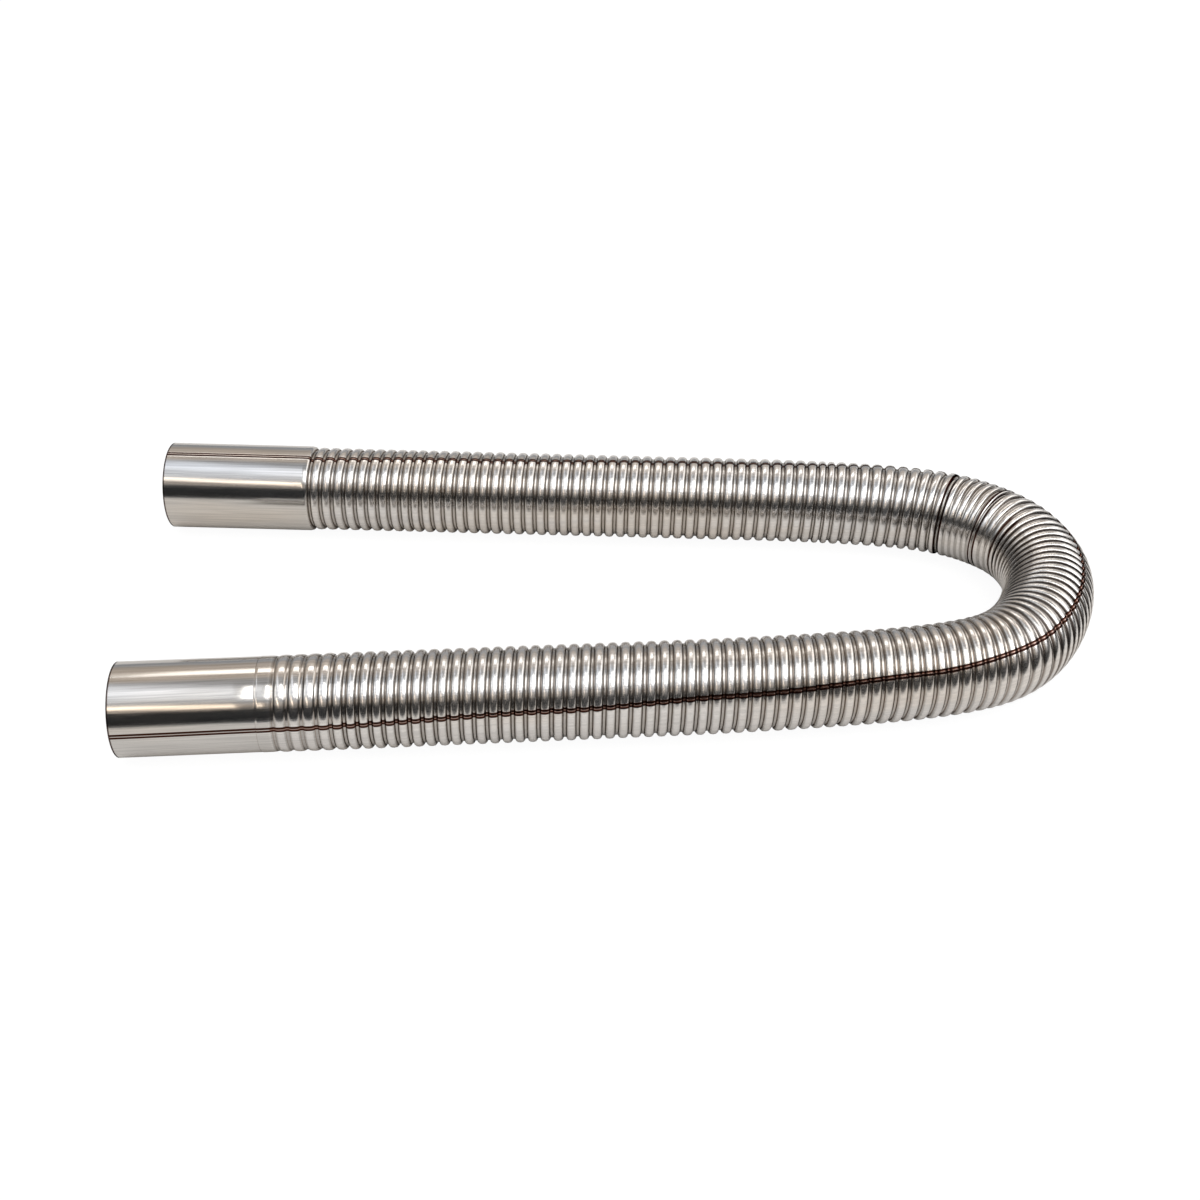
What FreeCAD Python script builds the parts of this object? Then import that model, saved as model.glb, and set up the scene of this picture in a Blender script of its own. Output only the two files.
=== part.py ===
# Flexible exhaust hose of a small heater: one thin stainless tube with plain ends and closed convolutions
# It lies flat, bent into a U whose two mouths face -X, with its bend towards +X

import FreeCAD, Part
import math
import os

NODE = "exhaust_hose"

# Name, value and meaning of every driving dimension, in millimetres where it is a length
SIZES = (
    ("crest_diameter", 25.5, "outside diameter over the convolutions"),
    ("valley_depth", 1.0, "from a crest down to the valleys beside it"),
    ("wall", 0.4, "sheet thickness of the tube"),
    ("near_cuff_diameter", 24.9, "outside diameter of the narrow plain end"),
    ("near_cuff_length", 37.0, "narrow plain end, from its mouth to the first flank"),
    ("far_cuff_diameter", 26.2, "outside diameter of the wide plain end"),
    ("far_cuff_length", 41.0, "wide plain end, from its mouth to the last flank"),
    ("convolutions", 60, "closed rings between the two plain ends, a count"),
    ("ring_rake", 6.0, "degrees by which bending has left the rings behind the centre line's heading"),
)

# Centre line from the narrow mouth round the bend to the wide mouth, seen from above
ROUTE = (
    (-128.5, -50.4),
    (40.9, -34.4),
    (94.2, -26.8),
    (114.4, -15.8),
    (127.1, 9.5),
    (123.4, 30.3),
    (109.4, 42.6),
    (90.2, 48.0),
    (58.0, 49.8),
    (-138.6, 49.8),
)

ARC_SHARE = 0.45  # of the shorter run beside a corner, taken up by that corner's arc
SAG_SHARE = 0.3  # of the wall, the most that the bore may leave the centre line between two rings
SAG_SAMPLES = 8  # points looked at between two rings of the bore
BORE_OVERRUN = 5.0  # how far the bore's tool stands out of both mouths
STRAIGHT = 1e-9  # curvature under which a piece of the centre line counts as straight


def fill_sheet(doc):
    """Write the driving dimensions into the document's spreadsheet and read them back."""
    sheet = doc.addObject("Spreadsheet::Sheet", "Sizes")
    for row, (name, value, meaning) in enumerate(SIZES, start=1):
        sheet.set("A%d" % row, meaning)
        sheet.set("B%d" % row, str(value))
        sheet.setAlias("B%d" % row, name)
    doc.recompute()
    return {name: float(getattr(sheet, name)) for name, _, _ in SIZES}


def straight_run(start, end):
    """A straight piece of the centre line."""
    along = end - start
    heading = math.atan2(along.y, along.x)
    return {"length": along.Length, "start": start, "heading": heading, "curvature": 0.0}


def tangent_arc(start, heading, turn, radius):
    """A round piece of the centre line, to the left where the turn is positive."""
    curvature = math.copysign(1.0 / radius, turn)
    return {"length": abs(turn) * radius, "start": start, "heading": heading, "curvature": curvature}


def centre_line(height):
    """Join the route's runs by arcs as large as the shorter run beside each corner allows."""
    corners = [FreeCAD.Vector(x, y, height) for x, y in ROUTE]
    pieces = []
    reached = corners[0]
    for before, corner, after in zip(corners, corners[1:], corners[2:]):
        run_in = corner - before
        run_out = after - corner
        cut = ARC_SHARE * min(run_in.Length, run_out.Length)
        heading = math.atan2(run_in.y, run_in.x)
        turn = math.remainder(math.atan2(run_out.y, run_out.x) - heading, 2.0 * math.pi)
        radius = cut / math.tan(abs(turn) / 2.0)
        arc_start = corner - run_in.normalize() * cut
        pieces.append(straight_run(reached, arc_start))
        pieces.append(tangent_arc(arc_start, heading, turn, radius))
        reached = corner + run_out.normalize() * cut
        print("corner at %.1f, %.1f: radius %.1f mm" % (corner.x, corner.y, radius))
    pieces.append(straight_run(reached, corners[-1]))
    return pieces


def locate(pieces, distance):
    """Point and heading at a distance along the centre line, whose ends run on straight."""
    for piece in pieces[:-1]:
        if distance <= piece["length"]:
            break
        distance -= piece["length"]
    else:
        piece = pieces[-1]
    heading = piece["heading"]
    curvature = piece["curvature"]
    turned = heading + curvature * distance
    if abs(curvature) < STRAIGHT:
        step = FreeCAD.Vector(math.cos(heading) * distance, math.sin(heading) * distance, 0.0)
    else:
        step = FreeCAD.Vector(
            (math.sin(turned) - math.sin(heading)) / curvature,
            (math.cos(heading) - math.cos(turned)) / curvature,
            0.0,
        )
    return piece["start"] + step, turned


def facing(heading):
    """A placement's turn that points its Z axis along a heading, with its X axis up."""
    along = FreeCAD.Vector(math.cos(heading), math.sin(heading), 0.0)
    up = FreeCAD.Vector(0.0, 0.0, 1.0)
    return FreeCAD.Rotation(up, along.cross(up), along, "ZXY")


def add_cylinder(doc, name, point, heading, radius, height):
    """A plain end or its bore, whose radius and height are bound to the sheet."""
    cylinder = doc.addObject("Part::Cylinder", name)
    cylinder.setExpression("Radius", radius)
    cylinder.setExpression("Height", height)
    cylinder.Placement = FreeCAD.Placement(point, facing(heading))
    return cylinder


def add_ringed(doc, name, pieces, places):
    """A solid with straight flanks from ring to ring, at the given distances, radii and rakes."""
    rings = []
    for distance, radius, rake in places:
        point, heading = locate(pieces, distance)
        ring = Part.makeCircle(radius)
        ring.Placement = FreeCAD.Placement(point, facing(heading - math.radians(rake)))
        rings.append(ring)
    flanks = [Part.makeRuledSurface(first, second) for first, second in zip(rings, rings[1:])]
    ends = [Part.Face(Part.Wire([ring])) for ring in (rings[0], rings[-1])]
    ringed = doc.addObject("Part::Feature", name)
    ringed.Shape = Part.makeSolid(Part.makeShell(flanks + ends))
    ringed.Placement = FreeCAD.Placement()
    return ringed


def flank_ends(length, sizes):
    """Distances at which the flanks between the two plain ends begin and end."""
    start = sizes["near_cuff_length"]
    end = length - sizes["far_cuff_length"]
    flanks = 2 * int(sizes["convolutions"]) + 2
    return [start + (end - start) * count / flanks for count in range(flanks + 1)]


def convolution_places(length, sizes):
    """A valley and a crest in turn between the two plain ends, whose own rings stand square."""
    crest = sizes["crest_diameter"] / 2.0
    valley = crest - sizes["valley_depth"]
    rake = sizes["ring_rake"]
    near_end, *middle, far_end = flank_ends(length, sizes)
    places = [(near_end, sizes["near_cuff_diameter"] / 2.0, 0.0)]
    places += [(distance, (valley, crest)[count % 2], rake) for count, distance in enumerate(middle)]
    places += [(far_end, sizes["far_cuff_diameter"] / 2.0, 0.0)]
    return places


def sag_between(pieces, first, last):
    """How far the centre line leaves the straight line between two of its points."""
    start = locate(pieces, first)[0]
    end = locate(pieces, last)[0]
    chord = (end - start).normalize()
    most = 0.0
    for count in range(1, SAG_SAMPLES):
        point = locate(pieces, first + (last - first) * count / SAG_SAMPLES)[0]
        most = max(most, (point - start).cross(chord).Length)
    return most


def bore_stations(pieces, valleys, sag_limit):
    """The valleys at which the bore needs a ring to follow the centre line."""
    kept = [valleys[0]]
    for this_one, next_one in zip(valleys[1:], valleys[2:]):
        if sag_between(pieces, kept[-1], next_one) > sag_limit:
            kept.append(this_one)
    return kept + [valleys[-1]]


def bore_places(pieces, length, sizes):
    """Rings of the bore between the plain ends, clear of the valleys by the wall."""
    wall = sizes["wall"]
    radius = sizes["crest_diameter"] / 2.0 - sizes["valley_depth"] - wall
    near_end, *middle, far_end = flank_ends(length, sizes)
    stations = bore_stations(pieces, middle[::2], SAG_SHARE * wall)
    places = [(near_end, sizes["near_cuff_diameter"] / 2.0 - wall, 0.0)]
    places += [(distance, radius, sizes["ring_rake"]) for distance in stations]
    places += [(far_end, sizes["far_cuff_diameter"] / 2.0 - wall, 0.0)]
    return places


def fuse(doc, name, shapes):
    """Several solids that meet face to face, as one."""
    whole = doc.addObject("Part::MultiFuse", name)
    whole.Shapes = shapes
    return whole


def build_hose(doc, sizes):
    """The hose lying on its widest ring, bored through from mouth to mouth."""
    widest = max(sizes["crest_diameter"], sizes["near_cuff_diameter"], sizes["far_cuff_diameter"])
    pieces = centre_line(widest / 2.0)
    length = sum(piece["length"] for piece in pieces)
    near_mouth, near_heading = locate(pieces, 0.0)
    far_mouth, far_heading = locate(pieces, length)
    far_heading += math.pi
    near_start = locate(pieces, -BORE_OVERRUN)[0]
    far_start = locate(pieces, length + BORE_OVERRUN)[0]
    near_radius = "Sizes.near_cuff_diameter / 2"
    far_radius = "Sizes.far_cuff_diameter / 2"
    outside = fuse(doc, "outside", [
        add_cylinder(doc, "near_cuff", near_mouth, near_heading, near_radius, "Sizes.near_cuff_length"),
        add_ringed(doc, "convolutions", pieces, convolution_places(length, sizes)),
        add_cylinder(doc, "far_cuff", far_mouth, far_heading, far_radius, "Sizes.far_cuff_length"),
    ])
    near_depth = "Sizes.near_cuff_length + %g" % BORE_OVERRUN
    far_depth = "Sizes.far_cuff_length + %g" % BORE_OVERRUN
    inside = fuse(doc, "inside", [
        add_cylinder(doc, "near_bore", near_start, near_heading, near_radius + " - Sizes.wall", near_depth),
        add_ringed(doc, "bore", pieces, bore_places(pieces, length, sizes)),
        add_cylinder(doc, "far_bore", far_start, far_heading, far_radius + " - Sizes.wall", far_depth),
    ])
    hose = doc.addObject("Part::Cut", NODE)
    hose.Label = NODE
    hose.Base = outside
    hose.Tool = inside
    hose.Placement = FreeCAD.Placement()
    doc.recompute()
    print("centre line %.1f mm" % length)
    print("outside %.0f mm3, sections times lengths %.0f mm3"
          % (outside.Shape.Volume, expected_volume(length, sizes)))
    return hose


def frustum(height, first, last):
    """Volume between two parallel circles."""
    return math.pi * height * (first**2 + first * last + last**2) / 3.0


def expected_volume(length, sizes):
    """The outside's sections times their lengths, square to the centre line between mouths."""
    places = convolution_places(length, sizes)
    volume = frustum(sizes["near_cuff_length"], places[0][1], places[0][1])
    volume += frustum(sizes["far_cuff_length"], places[-1][1], places[-1][1])
    for (start, first, _), (end, last, rake) in zip(places, places[1:]):
        volume += frustum(end - start, first, last) * math.cos(math.radians(rake))
    return volume


def check(doc, hose):
    """Stop on any failed object, and on a hose that is not one valid solid."""
    for item in doc.Objects:
        if "Invalid" in item.State or "Error" in item.State:
            raise RuntimeError("%s failed: %s" % (item.Label, item.State))
    if hose.Shape.isNull() or not hose.Shape.isValid() or len(hose.Shape.Solids) != 1:
        raise RuntimeError("%s is not one valid solid" % hose.Label)


document = FreeCAD.newDocument("exhaust_hose_model")
hose = build_hose(document, fill_sheet(document))
check(document, hose)
os.makedirs("parts", exist_ok=True)
hose.Shape.exportStep("parts/%s.step" % NODE)
print("solid %.0f mm3, %d faces" % (hose.Shape.Volume, len(hose.Shape.Faces)))
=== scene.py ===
import math

import bpy
import numpy as np
from mathutils import Matrix, Vector


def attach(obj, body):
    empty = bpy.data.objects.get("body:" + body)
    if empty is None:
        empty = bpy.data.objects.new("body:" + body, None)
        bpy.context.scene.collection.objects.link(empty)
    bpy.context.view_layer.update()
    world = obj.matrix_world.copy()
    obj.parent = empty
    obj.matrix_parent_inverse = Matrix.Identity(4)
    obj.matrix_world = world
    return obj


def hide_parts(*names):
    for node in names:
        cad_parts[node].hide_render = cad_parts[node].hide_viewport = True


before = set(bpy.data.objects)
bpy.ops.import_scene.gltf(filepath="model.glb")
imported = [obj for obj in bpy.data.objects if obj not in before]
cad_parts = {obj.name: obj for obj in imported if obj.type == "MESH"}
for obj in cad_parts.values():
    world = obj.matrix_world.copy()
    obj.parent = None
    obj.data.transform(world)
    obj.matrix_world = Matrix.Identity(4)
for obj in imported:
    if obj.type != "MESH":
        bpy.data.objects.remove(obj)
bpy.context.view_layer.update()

MM = 0.001

# Centre line of the hose from its narrow mouth to its wide one, in metres
ROUTE = [
    (-0.1285, -0.0504),
    (-0.0127, -0.0395),
    (0.0409, -0.0344),
    (0.0942, -0.0268),
    (0.1144, -0.0158),
    (0.1271, 0.0095),
    (0.1234, 0.0303),
    (0.1094, 0.0426),
    (0.0902, 0.0480),
    (0.0580, 0.0498),
    (0.0258, 0.0498),
    (-0.1386, 0.0498),
]
LINE_STEPS = 96  # of the smooth line between two points of the route

# Sizes of the tube
AXIS_HEIGHT = 13.1 * MM
CREST_RADIUS = 12.75 * MM
VALLEY_DEPTH = 1.0 * MM
WALL = 0.4 * MM
NEAR_CUFF_RADIUS = 12.45 * MM
FAR_CUFF_RADIUS = 13.08 * MM
RIM_ROUND = 0.12 * MM

# Places in the lists below are in millimetres along the centre line from the narrow mouth

# Valleys by number and by place on the tube's top, closest where the bend has pushed the rings together
VALLEYS = (
    (0, 41.1), (1, 44.8), (2, 48.5), (3, 52.3), (4, 55.9), (5, 59.4), (10, 76.0), (20, 109.1),
    (25, 126.1), (30, 143.3), (35, 160.4), (40, 178.0), (45, 195.4), (50, 212.9), (55, 229.7),
    (58, 238.5), (60, 244.8), (65, 259.0), (70, 272.2), (76, 287.8), (80, 298.9), (82, 305.0),
    (84, 309.5), (86, 314.5), (87, 317.0), (88, 320.0), (89, 323.2), (91, 330.0), (92, 333.5),
    (93, 337.2), (95, 344.8), (98, 355.5), (100, 361.0), (102, 368.0), (104, 375.4), (107, 386.3),
    (110, 397.4), (115, 415.5), (120, 433.0), (130, 468.3), (134, 482.0), (136, 488.3),
    (140, 501.9), (144, 516.1),
)

# One convolution from valley to valley: share of the pitch and height above the valley
CONVOLUTION = (
    (0.0, 0.0), (0.08, 0.015), (0.12, 0.18), (0.17, 0.55), (0.29, 0.89),
    (0.5, 1.0), (0.71, 0.89), (0.83, 0.55), (0.88, 0.18), (0.92, 0.015),
)
FLANK = CONVOLUTION[1:6]  # its half that climbs

# The rings beside the narrow plain end aren't rolled to the full depth
FIRST_DEPTHS = (0.35, 0.4, 0.45, 0.55, 0.7)  # of their valleys, as shares of the full depth
FIRST_CREST_DROP = 0.12 * MM  # by which the first crest is lower than the others

# A fine groove ends the narrow plain end, and a low bead fills the space up to the first valley
GROOVE = 36.6 * MM
GROOVE_HALF = 0.25 * MM
GROOVE_DEPTH = 0.05 * MM
GROOVE_LEVEL = 0.1  # how far up a convolution it counts as being for the metal's colour
BEAD_RISE = 0.08 * MM
BEAD_RINGS = (0.25, 0.8, 1.8, 2.8)  # millimetres from the groove
BEAD_FOOT = 0.9 * MM  # from the first valley
BEAD_FOOT_RISE = 0.03 * MM
BEAD_FOOT_LEVEL = 0.9

# Rings of the mesh on the plain ends, outside and in the bore
NEAR_CUFF_RINGS = (8, 16, 24, 31)
FAR_CUFF_RINGS = (518.6, 519.4, 528, 537, 546, 554)
NEAR_BORE_RINGS = (37, 20)
FAR_BORE_RINGS = (540, 519)
RIM_RINGS = (0.3, 0.6)  # millimetres from either mouth
LAST_PITCH = 3.2 * MM  # by which the flank up to the wide plain end is laid

# By how many millimetres a ring's outer side trails its top, and its inner side leads it
RAKES = (
    (36, 0.0), (45, 0.4), (62, 0.75), (112, 1.15), (162, 1.3), (202, 1.3), (224, 1.8), (234, 2.1),
    (244, 1.5), (254, 0.0), (269, -1.4), (279, 0.0), (289, 0.5), (294, 0.3), (304, 2.0), (314, 2.4),
    (320, 2.5), (330, 1.6), (340, 1.2), (400, 0.8), (440, 0.6), (500, 0.7), (515, 0.6), (520, 0.0),
)

# By how many millimetres both sides of a ring trail its top, and its foot by twice as many
CURLS = (
    (228, 0.0), (234, 0.5), (244, 1.5), (254, 4.0), (259, 5.0), (274, 4.5), (284, 2.8), (299, 1.6),
    (304, 0.9), (319, 0.9), (332, 0.0),
)

# Share of the valleys' depth that the bend has pulled out of its inner side and of its outer side
FLATTENED = ((292, 0.0), (297, 0.85), (317, 0.85), (320, 0.0))
STRETCHED = ((225, 0.0), (245, 0.6), (275, 0.6), (290, 0.0))
FLATTENED_SIDE = (0.3, 0.8)  # where this begins and is in full, if 0 is the tube's top and 1 that side
STRETCHED_SIDE = (0.6, 1.0)

# Lie of the weld seam, in degrees from the top towards the outer side of the bend
SEAM_ANGLES = (
    (0, 80.0), (48, 78.5), (114, 69.0), (160, 59.5), (212, 48.0), (240, 39.0),
    (281, 39.5), (385, 7.0), (477, -2.0), (517, -8.2), (561, -8.2),
)
SEAM_HALF = 0.435  # from the weld's middle to the dark line on each side of it, in millimetres

# Columns of the mesh across the seam, by offset and height in millimetres, and how many go round the rest
SEAM_COLUMNS = (
    (-0.85, 0.0), (-0.64, -0.01), (-SEAM_HALF, -0.06), (-0.24, 0.01), (0.0, 0.03),
    (0.24, 0.01), (SEAM_HALF, -0.06), (0.64, -0.01), (0.85, 0.0),
)
PLAIN_COLUMNS = 46


def at(place, pairs):
    """Value at a place, on straight lines between the pairs."""
    return float(np.interp(place, [known for known, _ in pairs], [value for _, value in pairs]))


def eased(place, pairs):
    """Value at a place, on curves that level out at each of the pairs."""
    for (start, first), (end, last) in zip(pairs, pairs[1:]):
        if place < end:
            share = max(0.0, (place - start) / (end - start))
            share = share * share * (3 - 2 * share)
            return first + (last - first) * share
    return pairs[-1][1]


def route_line():
    """Points along a smooth curve led by the route, and their distances from its start."""
    curve = bpy.data.curves.new("route", "CURVE")
    curve.dimensions = "3D"
    curve.resolution_u = LINE_STEPS
    spline = curve.splines.new("NURBS")
    spline.points.add(len(ROUTE) - 1)
    for point, (x, y) in zip(spline.points, ROUTE):
        point.co = (x, y, AXIS_HEIGHT, 1.0)
    spline.order_u = 3
    spline.use_endpoint_u = True
    holder = bpy.data.objects.new("route", curve)
    bpy.context.scene.collection.objects.link(holder)
    bpy.context.view_layer.update()
    line = bpy.data.meshes.new_from_object(holder)
    points = np.array([vertex.co[:] for vertex in line.vertices])
    bpy.data.objects.remove(holder)
    steps = np.linalg.norm(np.diff(points, axis=0), axis=1)
    return points, np.concatenate([[0.0], np.cumsum(steps)])


LINE, DISTANCES = route_line()
LENGTH = float(DISTANCES[-1])
TANGENTS = np.gradient(LINE, DISTANCES, axis=0)
HEADINGS = np.unwrap(np.arctan2(TANGENTS[:, 1], TANGENTS[:, 0]))


def centre(distance):
    """X and y of the centre line at one distance or at several."""
    return np.interp(distance, DISTANCES, LINE[:, 0]), np.interp(distance, DISTANCES, LINE[:, 1])


def valley_places():
    """Distance, depth and crest radius of each valley."""
    places = []
    for number in range(VALLEYS[-1][0] + 1):
        share = FIRST_DEPTHS[number] if number < len(FIRST_DEPTHS) else 1.0
        drop = FIRST_CREST_DROP * max(0.0, 1.0 - number / len(FIRST_DEPTHS))
        places.append((at(number, VALLEYS) * MM, VALLEY_DEPTH * share, CREST_RADIUS - drop))
    return places


def near_cuff(first_valley):
    """Rings of the narrow plain end, its groove and the low bead."""
    rings = [(0.0, NEAR_CUFF_RADIUS - RIM_ROUND, 1.0), (RIM_ROUND, NEAR_CUFF_RADIUS, 1.0)]
    rings += [(place * MM, NEAR_CUFF_RADIUS, 1.0) for place in RIM_RINGS + NEAR_CUFF_RINGS]
    rings.append((GROOVE - GROOVE_HALF, NEAR_CUFF_RADIUS, 1.0))
    rings.append((GROOVE, NEAR_CUFF_RADIUS - GROOVE_DEPTH, GROOVE_LEVEL))
    rings += [(GROOVE + offset * MM, NEAR_CUFF_RADIUS + BEAD_RISE, 1.0) for offset in BEAD_RINGS]
    rings.append((first_valley - BEAD_FOOT, NEAR_CUFF_RADIUS + BEAD_FOOT_RISE, BEAD_FOOT_LEVEL))
    return rings


def far_cuff(last_valley):
    """Rings of the last flank and of the wide plain end."""
    valley = CREST_RADIUS - VALLEY_DEPTH
    climb = FAR_CUFF_RADIUS - valley
    rings = [(last_valley, valley, 0.0)]
    for share, height in FLANK:
        rings.append((last_valley + share * LAST_PITCH, valley + climb * height, height))
    rings += [(place * MM, FAR_CUFF_RADIUS, 1.0) for place in FAR_CUFF_RINGS]
    rings += [(LENGTH - place * MM, FAR_CUFF_RADIUS, 1.0) for place in RIM_RINGS[::-1]]
    rings += [(LENGTH - RIM_ROUND, FAR_CUFF_RADIUS, 1.0), (LENGTH, FAR_CUFF_RADIUS - RIM_ROUND, 1.0)]
    return rings


def outer_profile():
    """Distance, radius and height above the valleys of each outer ring, from mouth to mouth."""
    valleys = valley_places()
    rings = near_cuff(valleys[0][0])
    for (start, first, crest), (end, last, _) in zip(valleys, valleys[1:]):
        for share, height in CONVOLUTION:
            depth = first + (last - first) * share
            rings.append((start + (end - start) * share, crest - depth * (1.0 - height), height))
    return rings + far_cuff(valleys[-1][0])


def inner_profile():
    """The same for the bore, from the wide mouth back to the narrow one."""
    valleys = valley_places()
    far = FAR_CUFF_RADIUS - WALL
    crest = CREST_RADIUS - WALL
    near = NEAR_CUFF_RADIUS - WALL
    rings = [(LENGTH, far + RIM_ROUND, 1.0), (LENGTH - RIM_ROUND, far, 1.0)]
    rings += [(LENGTH - place * MM, far, 1.0) for place in RIM_RINGS]
    rings += [(place * MM, far, 1.0) for place in FAR_BORE_RINGS]
    for (end, depth, _), (start, _, _) in zip(valleys[::-1], valleys[-2::-1]):
        rings += [(end, crest - depth, 0.0), ((start + end) / 2, crest, 1.0)]
    rings.append((valleys[0][0], crest - valleys[0][1], 0.0))
    rings += [(place * MM, near, 1.0) for place in NEAR_BORE_RINGS + RIM_RINGS[::-1]]
    rings += [(RIM_ROUND, near, 1.0), (0.0, near + RIM_ROUND, 1.0)]
    return rings


def columns():
    """Angle from the seam and height of the weld for each column of the mesh."""
    seam = [(offset * MM / CREST_RADIUS, height * MM) for offset, height in SEAM_COLUMNS]
    edge = seam[-1][0]
    step = (2 * math.pi - 2 * edge) / PLAIN_COLUMNS
    return seam + [(edge + step * count, 0.0) for count in range(1, PLAIN_COLUMNS)]


COLUMNS = columns()


def ring_points(distance, radius, outer):
    """Points of one leaning ring from the seam round, and how far each is to the bend's inner side.

    The weld and the smooth stretches are on the outside only, where outer is one; in the bore it is zero.
    """
    along = distance / MM
    seam = math.radians(eased(along, SEAM_ANGLES))
    turned = np.array([seam + angle for angle, _ in COLUMNS])
    outward = np.sin(turned)
    upward = np.cos(turned)
    inward = np.maximum(0.0, -outward)
    place = distance + (at(along, CURLS) * (upward - 1.0) - at(along, RAKES) * outward) * MM
    smooth = at(along, FLATTENED) * np.interp(inward, FLATTENED_SIDE, (0.0, 1.0))
    smooth += at(along, STRETCHED) * np.interp(outward, STRETCHED_SIDE, (0.0, 1.0))
    reach = radius + (CREST_RADIUS - radius) * smooth * outer
    reach = reach + np.array([weld for _, weld in COLUMNS]) * outer
    heading = np.interp(place, DISTANCES, HEADINGS)
    x, y = centre(place)
    x = x + reach * outward * np.sin(heading)
    y = y - reach * outward * np.cos(heading)
    return np.stack([x, y, AXIS_HEIGHT + reach * upward], axis=1), inward


def tube_faces(count):
    """Quads between each ring and the next, where the last ring meets the first."""
    wide = len(COLUMNS)
    faces = []
    for ring in range(count):
        here = ring * wide
        there = (ring + 1) % count * wide
        for column in range(wide):
            beside = (column + 1) % wide
            faces.append((here + column, here + beside, there + beside, there + column))
    return faces


def build_tube():
    """The whole tube as one closed mesh, with values at its points that the metal's colour needs."""
    rings = [(*ring, 1.0) for ring in outer_profile()] + [(*ring, 0.0) for ring in inner_profile()]
    points = []
    straight = []
    level = []
    inner_side = []
    bore = []
    for distance, radius, height, outer in rings:
        ring, inward = ring_points(distance, radius, outer)
        points += ring.tolist()
        inner_side += inward.tolist()
        for angle, _ in COLUMNS:
            straight += [radius * math.cos(angle), radius * math.sin(angle), distance]
        level += [height] * len(COLUMNS)
        bore += [1.0 - outer] * len(COLUMNS)
    mesh = bpy.data.meshes.new("hose")
    mesh.from_pydata(points, [], tube_faces(len(rings)))
    mesh.update()
    mesh.shade_smooth()
    layer = mesh.attributes.new("straight", "FLOAT_VECTOR", "POINT")
    layer.data.foreach_set("vector", np.array(straight, dtype=np.float32))
    for name, values in (("level", level), ("inner_side", inner_side), ("bore", bore)):
        layer = mesh.attributes.new(name, "FLOAT", "POINT")
        layer.data.foreach_set("value", np.array(values, dtype=np.float32))
    hose = bpy.data.objects.new("hose", mesh)
    bpy.context.scene.collection.objects.link(hose)
    return hose


class Shading:
    """Short calls for building a node tree."""

    def __init__(self, tree):
        self.tree = tree

    def add(self, kind, **settings):
        """A new node with some of its properties set."""
        made = self.tree.nodes.new(kind)
        for name, value in settings.items():
            setattr(made, name, value)
        return made

    def put(self, value, socket):
        """Link an output to a socket, or set the socket to a plain value."""
        if isinstance(value, bpy.types.NodeSocket):
            self.tree.links.new(value, socket)
        else:
            socket.default_value = value

    def maths(self, operation, *values):
        """Result of an operation on one value or several."""
        made = self.add("ShaderNodeMath", operation=operation)
        for value, socket in zip(values, made.inputs):
            self.put(value, socket)
        return made.outputs[0]

    def product(self, first, second):
        """One value times another."""
        return self.maths("MULTIPLY", first, second)

    def largest(self, first, second):
        """The larger of two values."""
        return self.maths("MAXIMUM", first, second)

    def step(self, value, low, high, first=0.0, last=1.0, form="SMOOTHSTEP"):
        """A change from first to last as the value goes from low to high, smooth unless said otherwise."""
        made = self.add("ShaderNodeMapRange", interpolation_type=form)
        names = ("Value", "From Min", "From Max", "To Min", "To Max")
        for given, name in zip((value, low, high, first, last), names):
            self.put(given, made.inputs[name])
        return made.outputs[0]

    def band(self, value, low, high, soft):
        """One between low and high, fading to nothing over soft on each side."""
        rise = self.step(value, low - soft, low + soft)
        fall = self.step(value, high - soft, high + soft, 1.0, 0.0)
        return self.product(rise, fall)

    def mix(self, share, first, second, blend="MIX"):
        """One colour with a share of another blended in."""
        made = self.add("ShaderNodeMix", data_type="RGBA", blend_type=blend)
        self.put(share, made.inputs["Factor"])
        for value, socket in ((first, made.inputs[6]), (second, made.inputs[7])):
            self.put((*value, 1.0) if isinstance(value, tuple) else value, socket)
        return made.outputs[2]

    def tinted(self, colour, tint):
        """A colour times a tint."""
        return self.mix(1.0, colour, tint, "MULTIPLY")

    def ramp(self, value, stops):
        """A grey for each value, eased from stop to stop."""
        made = self.add("ShaderNodeValToRGB")
        self.put(value, made.inputs[0])
        elements = made.color_ramp.elements
        made.color_ramp.interpolation = "EASE"
        for count, (position, grey) in enumerate(stops):
            element = elements[count] if count < 2 else elements.new(position)
            element.position = position
            element.color = (grey, grey, grey, 1.0)
        return made.outputs[0]

    def noise(self, where, stretch, detail):
        """Noise over a place that is multiplied by a factor on each axis."""
        scaled = self.add("ShaderNodeVectorMath", operation="MULTIPLY")
        self.put(where, scaled.inputs[0])
        self.put(stretch, scaled.inputs[1])
        made = self.add("ShaderNodeTexNoise")
        self.put(scaled.outputs[0], made.inputs["Vector"])
        self.put(1.0, made.inputs["Scale"])
        self.put(detail, made.inputs["Detail"])
        return made.outputs["Fac"]


# Colours of the metal
STEEL = (0.62, 0.61, 0.595)
WARM_STEEL = (0.62, 0.58, 0.53)
DULL_STREAK = (0.90, 0.90, 0.90)
BRIGHT_STREAK = (1.07, 1.07, 1.07)
# Painted shade on the rings' shoulders and a painted highlight on their crests
SHOULDER_PAINTED_SHADE = (0.78, 0.77, 0.76)
CREST_PAINTED_HIGHLIGHT = (1.18, 1.18, 1.19)
# Painted shade on the bend's inner side, where the crowded rings mirror one another
BEND_PAINTED_SHADE = (0.5, 0.49, 0.48)
# The flanks' oxide tint with painted shade of the valleys, for loose rings and for crowded ones
VALLEY_OXIDE_AND_SHADE = (0.28, 0.225, 0.19)
CROWDED_OXIDE_AND_SHADE = (0.07, 0.05, 0.04)
SCORCHED = (0.042, 0.015, 0.009)
COPPERY = (0.25, 0.13, 0.095)
# Specular tints; the dark one is painted shade on the flanks and the lines' own colour on the scorched
# lines
PLAIN_EDGE = (1.0, 1.0, 1.0)  # at grazing angles
DARK_EDGE = (0.1, 0.1, 0.1)  # the same on the dark parts

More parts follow.
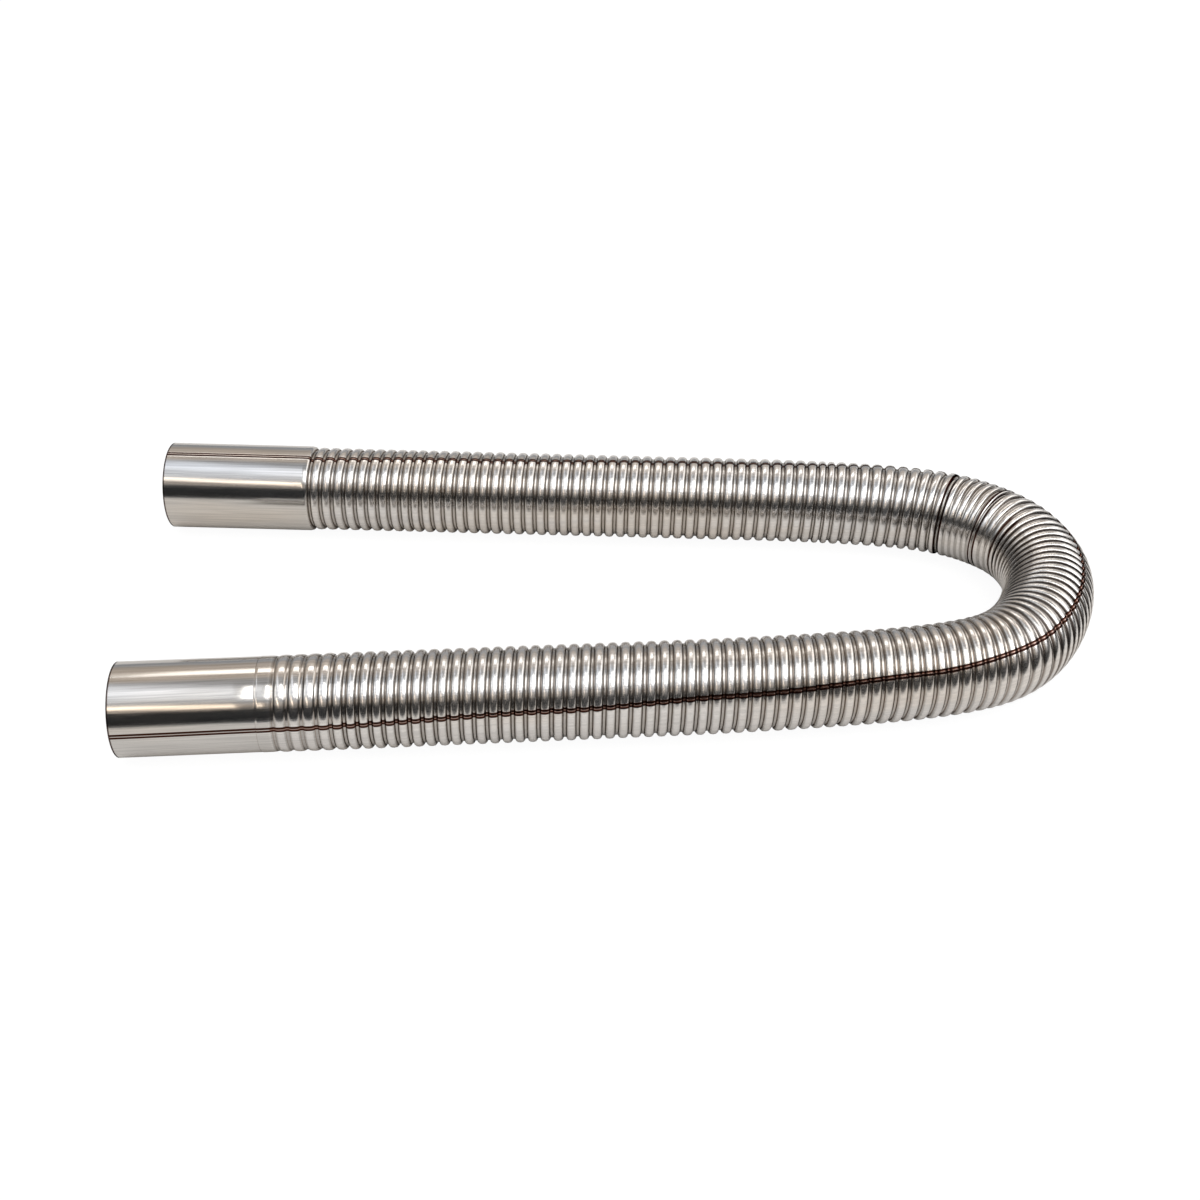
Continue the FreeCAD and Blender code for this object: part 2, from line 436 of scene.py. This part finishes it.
# Noise on the straightened tube, by its cycles a metre on each axis, the last of which is along it
PATCHES = (60.0, 60.0, 12.0)
BRUSHING = (2200.0, 2200.0, 45.0)
STREAKS = (3500.0, 3500.0, 60.0)
COARSE_DETAIL = 3.0
FINE_DETAIL = 2.0
PATCH_RANGE = (0.42, 0.68)  # values of the noise between which its effect grows
BRUSHING_RANGE = (0.35, 0.65)
STREAK_RANGE = (0.3, 0.7)

# Stretches of the tube by start, end and fade in millimetres
RINGED = (VALLEYS[0][1] - 1.0, VALLEYS[-1][1] + 1.0, 0.5)
CROWDED = (243.0, 297.0, 12.0)  # where the bend has closed the valleys
# Next, the stretch of painted shade on the bend's inner side
BEND_SHADE_RUN = (256.0, 282.0, 8.0)
PULLED_SMOOTH = (295.0, 318.5, 1.5)

# How far to the bend's inner side a change begins and ends, where 1 is the very side
# Next, the part of the bend's inner side with painted shade
BEND_SHADE_SIDE = (0.5, 0.86, 0.1)  # start, end and fade
PULLED_SIDE = (0.45, 0.75)
INNERMOST_SIDE = (0.78, 0.95)
SCORCHED_SIDE = (0.25, 0.5)

# The dark flanks, an oxide tint with painted shade of the valleys; where there are two numbers, for loose
# rings and for crowded ones
FLANK_SHARE = 0.78
FLOOR_SHARES = (0.15, 0.8)  # of it that a valley's floor gets
FLOOR_LEVELS = (0.02, 0.10)  # between which a floor, of whatever rings, turns into a flank
FADE_STARTS = (0.20, 0.40)  # levels at which it begins to fade towards the crest
FADE_ENDS = (0.55, 0.92)
FIRST_RINGS = (40.0, 62.0)  # stretch over which it gets as dark as it is further on
FIRST_SHARE = 0.7
INNERMOST_SHARE = 0.7

# Levels between which the painted shade of a shoulder turns into the painted highlight of a crest
CREST_LEVELS = (0.60, 0.98)

# Scorched lines that run round the bend with the rings, by place and half width in millimetres
SCORCHES = ((293.2, 0.65), (296.0, 0.5), (304.4, 0.42), (306.2, 0.35), (319.3, 0.34), (320.8, 0.34))
INNER_SCORCHES = 2  # the first ones, which only the bend's inner side has
SCORCH_FADE = 0.15
CLEAR_FADE = 0.3  # of the stretch between the last two, which has no dark flank

# The weld, in millimetres from its middle, and how strong its colour is
WELD_EDGE = (0.2, 0.4)
WELD_SHARES = (0.3, 0.8)  # on the plain ends and on the rings
SEAM_LINE = 0.30  # half the width of the dark line on each side of it
SEAM_FADE = 0.06
RIM_SHARE = 0.9  # of the scorched colour on the rims

# Roughness: what the streaks give it, what the rings add to it from place to place, and the bore
STREAK_ROUGHNESS = (0.12, 0.18)
RING_ROUGHNESS = (0.03, 0.08)
RING_ROUGHNESS_RUN = (50.0, 90.0)
BORE_DULLNESS = 0.35
STREAK_STRENGTH = 0.04  # of the streaks as a relief
STREAK_HEIGHT = 0.1 * MM


class TubeShading(Shading):
    """Shading that also knows where on the tube a point of the metal lies, in millimetres."""

    def __init__(self, tree):
        super().__init__(tree)
        self.straight = self.add("ShaderNodeAttribute", attribute_name="straight").outputs["Vector"]
        self.level = self.add("ShaderNodeAttribute", attribute_name="level").outputs["Fac"]
        self.inner_side = self.add("ShaderNodeAttribute", attribute_name="inner_side").outputs["Fac"]
        self.bore = self.add("ShaderNodeAttribute", attribute_name="bore").outputs["Fac"]
        parts = self.add("ShaderNodeSeparateXYZ")
        self.put(self.straight, parts.inputs[0])
        turned = self.maths("ARCTAN2", parts.outputs["Y"], parts.outputs["X"])
        self.along = self.product(parts.outputs["Z"], 1 / MM)
        self.from_seam = self.maths("ABSOLUTE", self.product(turned, CREST_RADIUS / MM))
        self.ringed = self.band(self.along, *RINGED)
        self.crowded = self.band(self.along, *CROWDED)

    def crowding(self, loose, crowded):
        """The first value where the rings are loose and the second where they are crowded."""
        return self.step(self.crowded, 0.0, 1.0, loose, crowded)


def sheet_colour(tube):
    """Rolled sheet with warm patches and streaks; painted highlights on crests, painted shade on shoulders
    and the bend's inner side.
    """
    patches = tube.noise(tube.straight, PATCHES, COARSE_DETAIL)
    colour = tube.mix(tube.step(patches, *PATCH_RANGE), STEEL, WARM_STEEL)
    brushing = tube.noise(tube.straight, BRUSHING, COARSE_DETAIL)
    brushed = tube.mix(tube.step(brushing, *BRUSHING_RANGE), DULL_STREAK, BRIGHT_STREAK)
    colour = tube.tinted(colour, brushed)
    # A painted highlight on the crests and painted shade on their shoulders
    painted_crest_light = tube.mix(tube.step(tube.level, *CREST_LEVELS), SHOULDER_PAINTED_SHADE, CREST_PAINTED_HIGHLIGHT)
    colour = tube.mix(tube.ringed, colour, tube.tinted(colour, painted_crest_light))
    # Painted shade on the bend's inner side, where the crowded rings mirror one another
    bend_shade = tube.product(tube.band(tube.along, *BEND_SHADE_RUN), tube.band(tube.inner_side, *BEND_SHADE_SIDE))
    return tube.mix(bend_shade, colour, tube.tinted(colour, BEND_PAINTED_SHADE))


def flank_oxide_and_shade_mask(tube):
    """How dark the flanks are with an oxide tint and painted shade, from a valley's floor up to the crest
    beside it.
    """
    crest_side = tube.step(tube.level, tube.crowding(*FADE_STARTS), tube.crowding(*FADE_ENDS), 1.0, 0.0)
    floor_side = tube.step(tube.level, *FLOOR_LEVELS, tube.crowding(*FLOOR_SHARES), 1.0)
    pulled = tube.product(tube.band(tube.along, *PULLED_SMOOTH), tube.step(tube.inner_side, *PULLED_SIDE))
    clear = tube.band(tube.along, SCORCHES[-2][0], SCORCHES[-1][0], CLEAR_FADE)
    flank = tube.product(floor_side, crest_side)
    flank = tube.product(flank, tube.maths("SUBTRACT", 1.0, tube.largest(pulled, clear)))
    flank = tube.product(flank, tube.step(tube.along, *FIRST_RINGS, FIRST_SHARE, 1.0))
    return tube.product(flank, tube.step(tube.inner_side, *INNERMOST_SIDE, 1.0, INNERMOST_SHARE))


def weld_mask(tube):
    """How strong the weld's own colour is."""
    return tube.product(
        tube.step(tube.from_seam, *WELD_EDGE, 1.0, 0.0),
        tube.step(tube.ringed, 0.0, 1.0, *WELD_SHARES),
    )


def scorch_mask(tube):
    """The dark lines that run round the bend, beside the weld and round both rims."""
    burnt = tube.band(tube.from_seam, SEAM_HALF - SEAM_LINE, SEAM_HALF + SEAM_LINE, SEAM_FADE)
    from_far = tube.maths("SUBTRACT", LENGTH / MM, tube.along)
    for from_mouth in (tube.along, from_far):
        rim = tube.step(from_mouth, *RIM_RINGS, 1.0, 0.0)
        burnt = tube.largest(burnt, tube.product(rim, RIM_SHARE))
    for count, (place, half) in enumerate(SCORCHES):
        line = tube.band(tube.along, place - half, place + half, SCORCH_FADE)
        if count < INNER_SCORCHES:
            line = tube.product(line, tube.step(tube.inner_side, *SCORCHED_SIDE))
        burnt = tube.largest(burnt, line)
    return burnt


def add_sheen(tube, shader):
    """A satin roughness with streaks along the tube, which are a faint relief too."""
    streaks = tube.noise(tube.straight, STREAKS, FINE_DETAIL)
    satin = tube.product(tube.ringed, tube.step(tube.along, *RING_ROUGHNESS_RUN, *RING_ROUGHNESS))
    satin = tube.maths("ADD", satin, tube.step(streaks, *STREAK_RANGE, *STREAK_ROUGHNESS))
    tube.put(tube.maths("MULTIPLY_ADD", tube.bore, BORE_DULLNESS, satin), shader.inputs["Roughness"])
    bump = tube.add("ShaderNodeBump")
    tube.put(STREAK_STRENGTH, bump.inputs["Strength"])
    tube.put(STREAK_HEIGHT, bump.inputs["Distance"])
    tube.put(streaks, bump.inputs["Height"])
    tube.put(bump.outputs[0], shader.inputs["Normal"])


def stainless():
    """Bright rolled sheet with valleys darkened by an oxide tint and painted shade, a dark-edged weld and
    scorched lines.
    """
    material = bpy.data.materials.new("stainless_tube")
    material.use_nodes = True
    shader = material.node_tree.nodes["Principled BSDF"]
    tube = TubeShading(material.node_tree)
    flank = flank_oxide_and_shade_mask(tube)
    burnt = scorch_mask(tube)
    # Oxide tint and painted shade on the flanks
    dark = tube.mix(tube.crowded, VALLEY_OXIDE_AND_SHADE, CROWDED_OXIDE_AND_SHADE)
    colour = tube.mix(tube.product(flank, FLANK_SHARE), sheet_colour(tube), dark)
    colour = tube.mix(weld_mask(tube), colour, COPPERY)
    tube.put(tube.mix(burnt, colour, SCORCHED), shader.inputs["Base Color"])
    # Dimmer reflections: painted shade on the flanks, the lines' own colour on the scorched lines
    edge = tube.mix(tube.largest(flank, burnt), PLAIN_EDGE, DARK_EDGE)
    tube.put(edge, shader.inputs["Specular Tint"])
    add_sheen(tube, shader)
    tube.put(1.0, shader.inputs["Metallic"])
    return material


# The card under the hose: its colour for light and mirror images, and what the camera sees of it
CARD = (0.83, 0.80, 0.77)
SEEN_CARD = (0.12, 0.12, 0.12)
SEEN_GLOW = 0.94
CARD_HALF = 3.0


def floor_material():
    """White card that stays white to the camera and keeps a faint shadow."""
    material = bpy.data.materials.new("floor_card")
    material.use_nodes = True
    shade = Shading(material.node_tree)
    material.node_tree.nodes.clear()
    seen = shade.add("ShaderNodeLightPath").outputs["Is Camera Ray"]
    card = shade.add("ShaderNodeBsdfDiffuse")
    shade.put(shade.mix(seen, CARD, SEEN_CARD), card.inputs["Color"])
    glow = shade.add("ShaderNodeEmission")
    shade.put(shade.product(seen, SEEN_GLOW), glow.inputs["Strength"])
    both = shade.add("ShaderNodeAddShader")
    shade.put(card.outputs[0], both.inputs[0])
    shade.put(glow.outputs[0], both.inputs[1])
    output = shade.add("ShaderNodeOutputMaterial")
    shade.put(both.outputs[0], output.inputs[0])
    return material


def build_floor():
    """A wide white card under the hose."""
    mesh = bpy.data.meshes.new("floor")
    half = CARD_HALF
    corners = [(-half, -half, 0), (half, -half, 0), (half, half, 0), (-half, half, 0)]
    mesh.from_pydata(corners, [], [(0, 1, 2, 3)])
    floor = bpy.data.objects.new("floor", mesh)
    bpy.context.scene.collection.objects.link(floor)
    mesh.materials.append(floor_material())


# Brightness of the room that the metal mirrors, by angle from overhead towards the viewer's side
ROOM = (
    (-180, 0.35), (-84, 0.35), (-72, 0.45), (-52, 0.60), (-24, 0.57), (-12, 0.42), (0, 0.42),
    (8, 0.82), (28, 0.84), (40, 0.54), (52, 0.38), (59, 0.03), (84, 0.02), (91, 0.15), (180, 0.35),
)
COOL_SIDE = (0.97, 1.0, 1.05)
WARM_SIDE = (1.04, 0.93, 0.83)
WARM_ANGLES = ((-74.0, -18.0, 6.0), (43.0, 56.0, 3.0))  # start, end and fade
DIM_SIDES = (0.68, 0.88)  # sideways parts of a direction between which the room gets dimmer
DIM_SHARE = 0.2

# Bright panels in it: start, end and fade of each by angle and then by the sideways part of a
# direction, how many degrees one whole such part tilts it by, and its colour
PANELS = (
    ((53.7, 60.3, 1.2), (-0.36, -0.08, 0.03), -62.0, (2.6, 2.2, 1.8)),
    ((31.0, 54.0, 6.0), (-0.42, -0.15, 0.05), -150.0, (0.75, 0.80, 0.90)),
    ((-68.0, 8.0, 8.0), (0.50, 0.84, 0.06), 0.0, (1.1, 1.1, 1.1)),
    ((3.0, 32.0, 5.0), (0.45, 0.68, 0.06), 0.0, (1.0, 1.0, 1.0)),
    ((3.0, 32.0, 5.0), (-0.68, -0.45, 0.06), 0.0, (1.0, 1.0, 1.0)),
)

# Light from the world, to which the softboxes add the rest
EVEN_LIGHT = 0.25  # from all sides
HIGH_LIGHT = 0.6  # by which it is stronger from overhead
FRONT_LIGHT = 0.2  # by which it is stronger from the viewer's side and weaker from behind


def room_colour(shade, side, towards, up):
    """What the metal mirrors: a room with a dark side and bright panels, by direction."""
    degrees = shade.product(shade.maths("ARCTAN2", towards, up), 180 / math.pi)
    share = shade.step(degrees, -180.0, 180.0, form="LINEAR")
    colour = shade.ramp(share, [((angle + 180) / 360, grey) for angle, grey in ROOM])
    back, front = [shade.band(degrees, *angles) for angles in WARM_ANGLES]
    colour = shade.tinted(colour, shade.mix(shade.largest(back, front), COOL_SIDE, WARM_SIDE))
    dimmed = shade.step(shade.maths("ABSOLUTE", side), *DIM_SIDES, 1.0, DIM_SHARE)
    colour = shade.tinted(colour, dimmed)
    for angles, sides, tilt, tint in PANELS:
        tilted = shade.maths("MULTIPLY_ADD", side, tilt, degrees)
        mask = shade.product(shade.band(tilted, *angles), shade.band(side, *sides))
        added = shade.add("ShaderNodeVectorMath", operation="MULTIPLY_ADD")
        for value, socket in zip((mask, tint, colour), added.inputs):
            shade.put(value, socket)
        colour = added.outputs[0]
    return colour


def build_world():
    """White light, strongest from above; the camera sees plain white and the metal mirrors the room."""
    world = bpy.data.worlds.new("studio")
    bpy.context.scene.world = world
    world.use_nodes = True
    shade = Shading(world.node_tree)
    world.node_tree.nodes.clear()
    parts = shade.add("ShaderNodeSeparateXYZ")
    shade.put(shade.add("ShaderNodeTexCoord").outputs["Generated"], parts.inputs[0])
    towards = shade.product(parts.outputs["Y"], -1.0)
    up = parts.outputs["Z"]
    ray = shade.add("ShaderNodeLightPath")

    light = shade.maths("MULTIPLY_ADD", up, HIGH_LIGHT, EVEN_LIGHT)
    light = shade.maths("MULTIPLY_ADD", towards, FRONT_LIGHT, light)
    even = shade.add("ShaderNodeBackground")
    shade.put((1.0, 1.0, 1.0, 1.0), even.inputs["Color"])
    shade.put(shade.largest(light, ray.outputs["Is Camera Ray"]), even.inputs["Strength"])
    room = shade.add("ShaderNodeBackground")
    shade.put(room_colour(shade, parts.outputs["X"], towards, up), room.inputs["Color"])

    mixed = shade.add("ShaderNodeMixShader")
    shade.put(ray.outputs["Is Glossy Ray"], mixed.inputs[0])
    shade.put(even.outputs[0], mixed.inputs[1])
    shade.put(room.outputs[0], mixed.inputs[2])
    output = shade.add("ShaderNodeOutputWorld")
    shade.put(mixed.outputs[0], output.inputs[0])


# Softboxes by name, place, width and depth in metres, and radiance
SOFTBOXES = (
    ("front_softbox", (0.81, -0.45, 1.19), 1.93, 0.70, 2.3),
    ("back_softbox", (-0.05, 0.96, 1.19), 1.10, 0.46, 1.7),
)


def build_softbox(name, place, width, depth, radiance):
    """A level rectangular lamp that shines straight down and isn't seen by the camera."""
    light = bpy.data.lights.new(name, "AREA")
    light.shape = "RECTANGLE"
    light.size = width
    light.size_y = depth
    light.energy = radiance * math.pi * width * depth
    lamp = bpy.data.objects.new(name, light)
    lamp.location = place
    lamp.visible_camera = False
    bpy.context.scene.collection.objects.link(lamp)


# The camera looks along +Y and so many degrees down, and is rolled a little; its lens is in millimetres
CAMERA_PLACE = (-4.85 * MM, -311.5 * MM, 271.5 * MM)
CAMERA_DOWN = 39.78
CAMERA_ROLL = 1.48
CAMERA_LENS = 42.49
SENSOR_WIDTH = 36.0
NEAREST_SEEN = 10 * MM


def build_camera():
    """A camera at the photograph's angle and distance."""
    down = math.radians(CAMERA_DOWN)
    roll = math.radians(CAMERA_ROLL)
    ahead = Vector((0.0, math.cos(down), -math.sin(down)))
    right = Vector((1.0, 0.0, 0.0))
    above = Vector((0.0, math.sin(down), math.cos(down)))
    turned_right = right * math.cos(roll) + above * math.sin(roll)
    turned_above = above * math.cos(roll) - right * math.sin(roll)
    axes = Matrix((turned_right, turned_above, -ahead)).transposed()
    lens = bpy.data.cameras.new("camera")
    lens.sensor_width = SENSOR_WIDTH
    lens.lens = CAMERA_LENS
    lens.clip_start = NEAREST_SEEN
    camera = bpy.data.objects.new("camera", lens)
    camera.matrix_world = Matrix.Translation(CAMERA_PLACE) @ axes.to_4x4()
    bpy.context.scene.collection.objects.link(camera)
    bpy.context.scene.camera = camera


hose = build_tube()
hose.data.materials.append(stainless())
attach(hose, "root")
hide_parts("exhaust_hose")
build_floor()
build_world()
for softbox in SOFTBOXES:
    build_softbox(*softbox)
build_camera()
bpy.context.scene.view_settings.view_transform = "Standard"
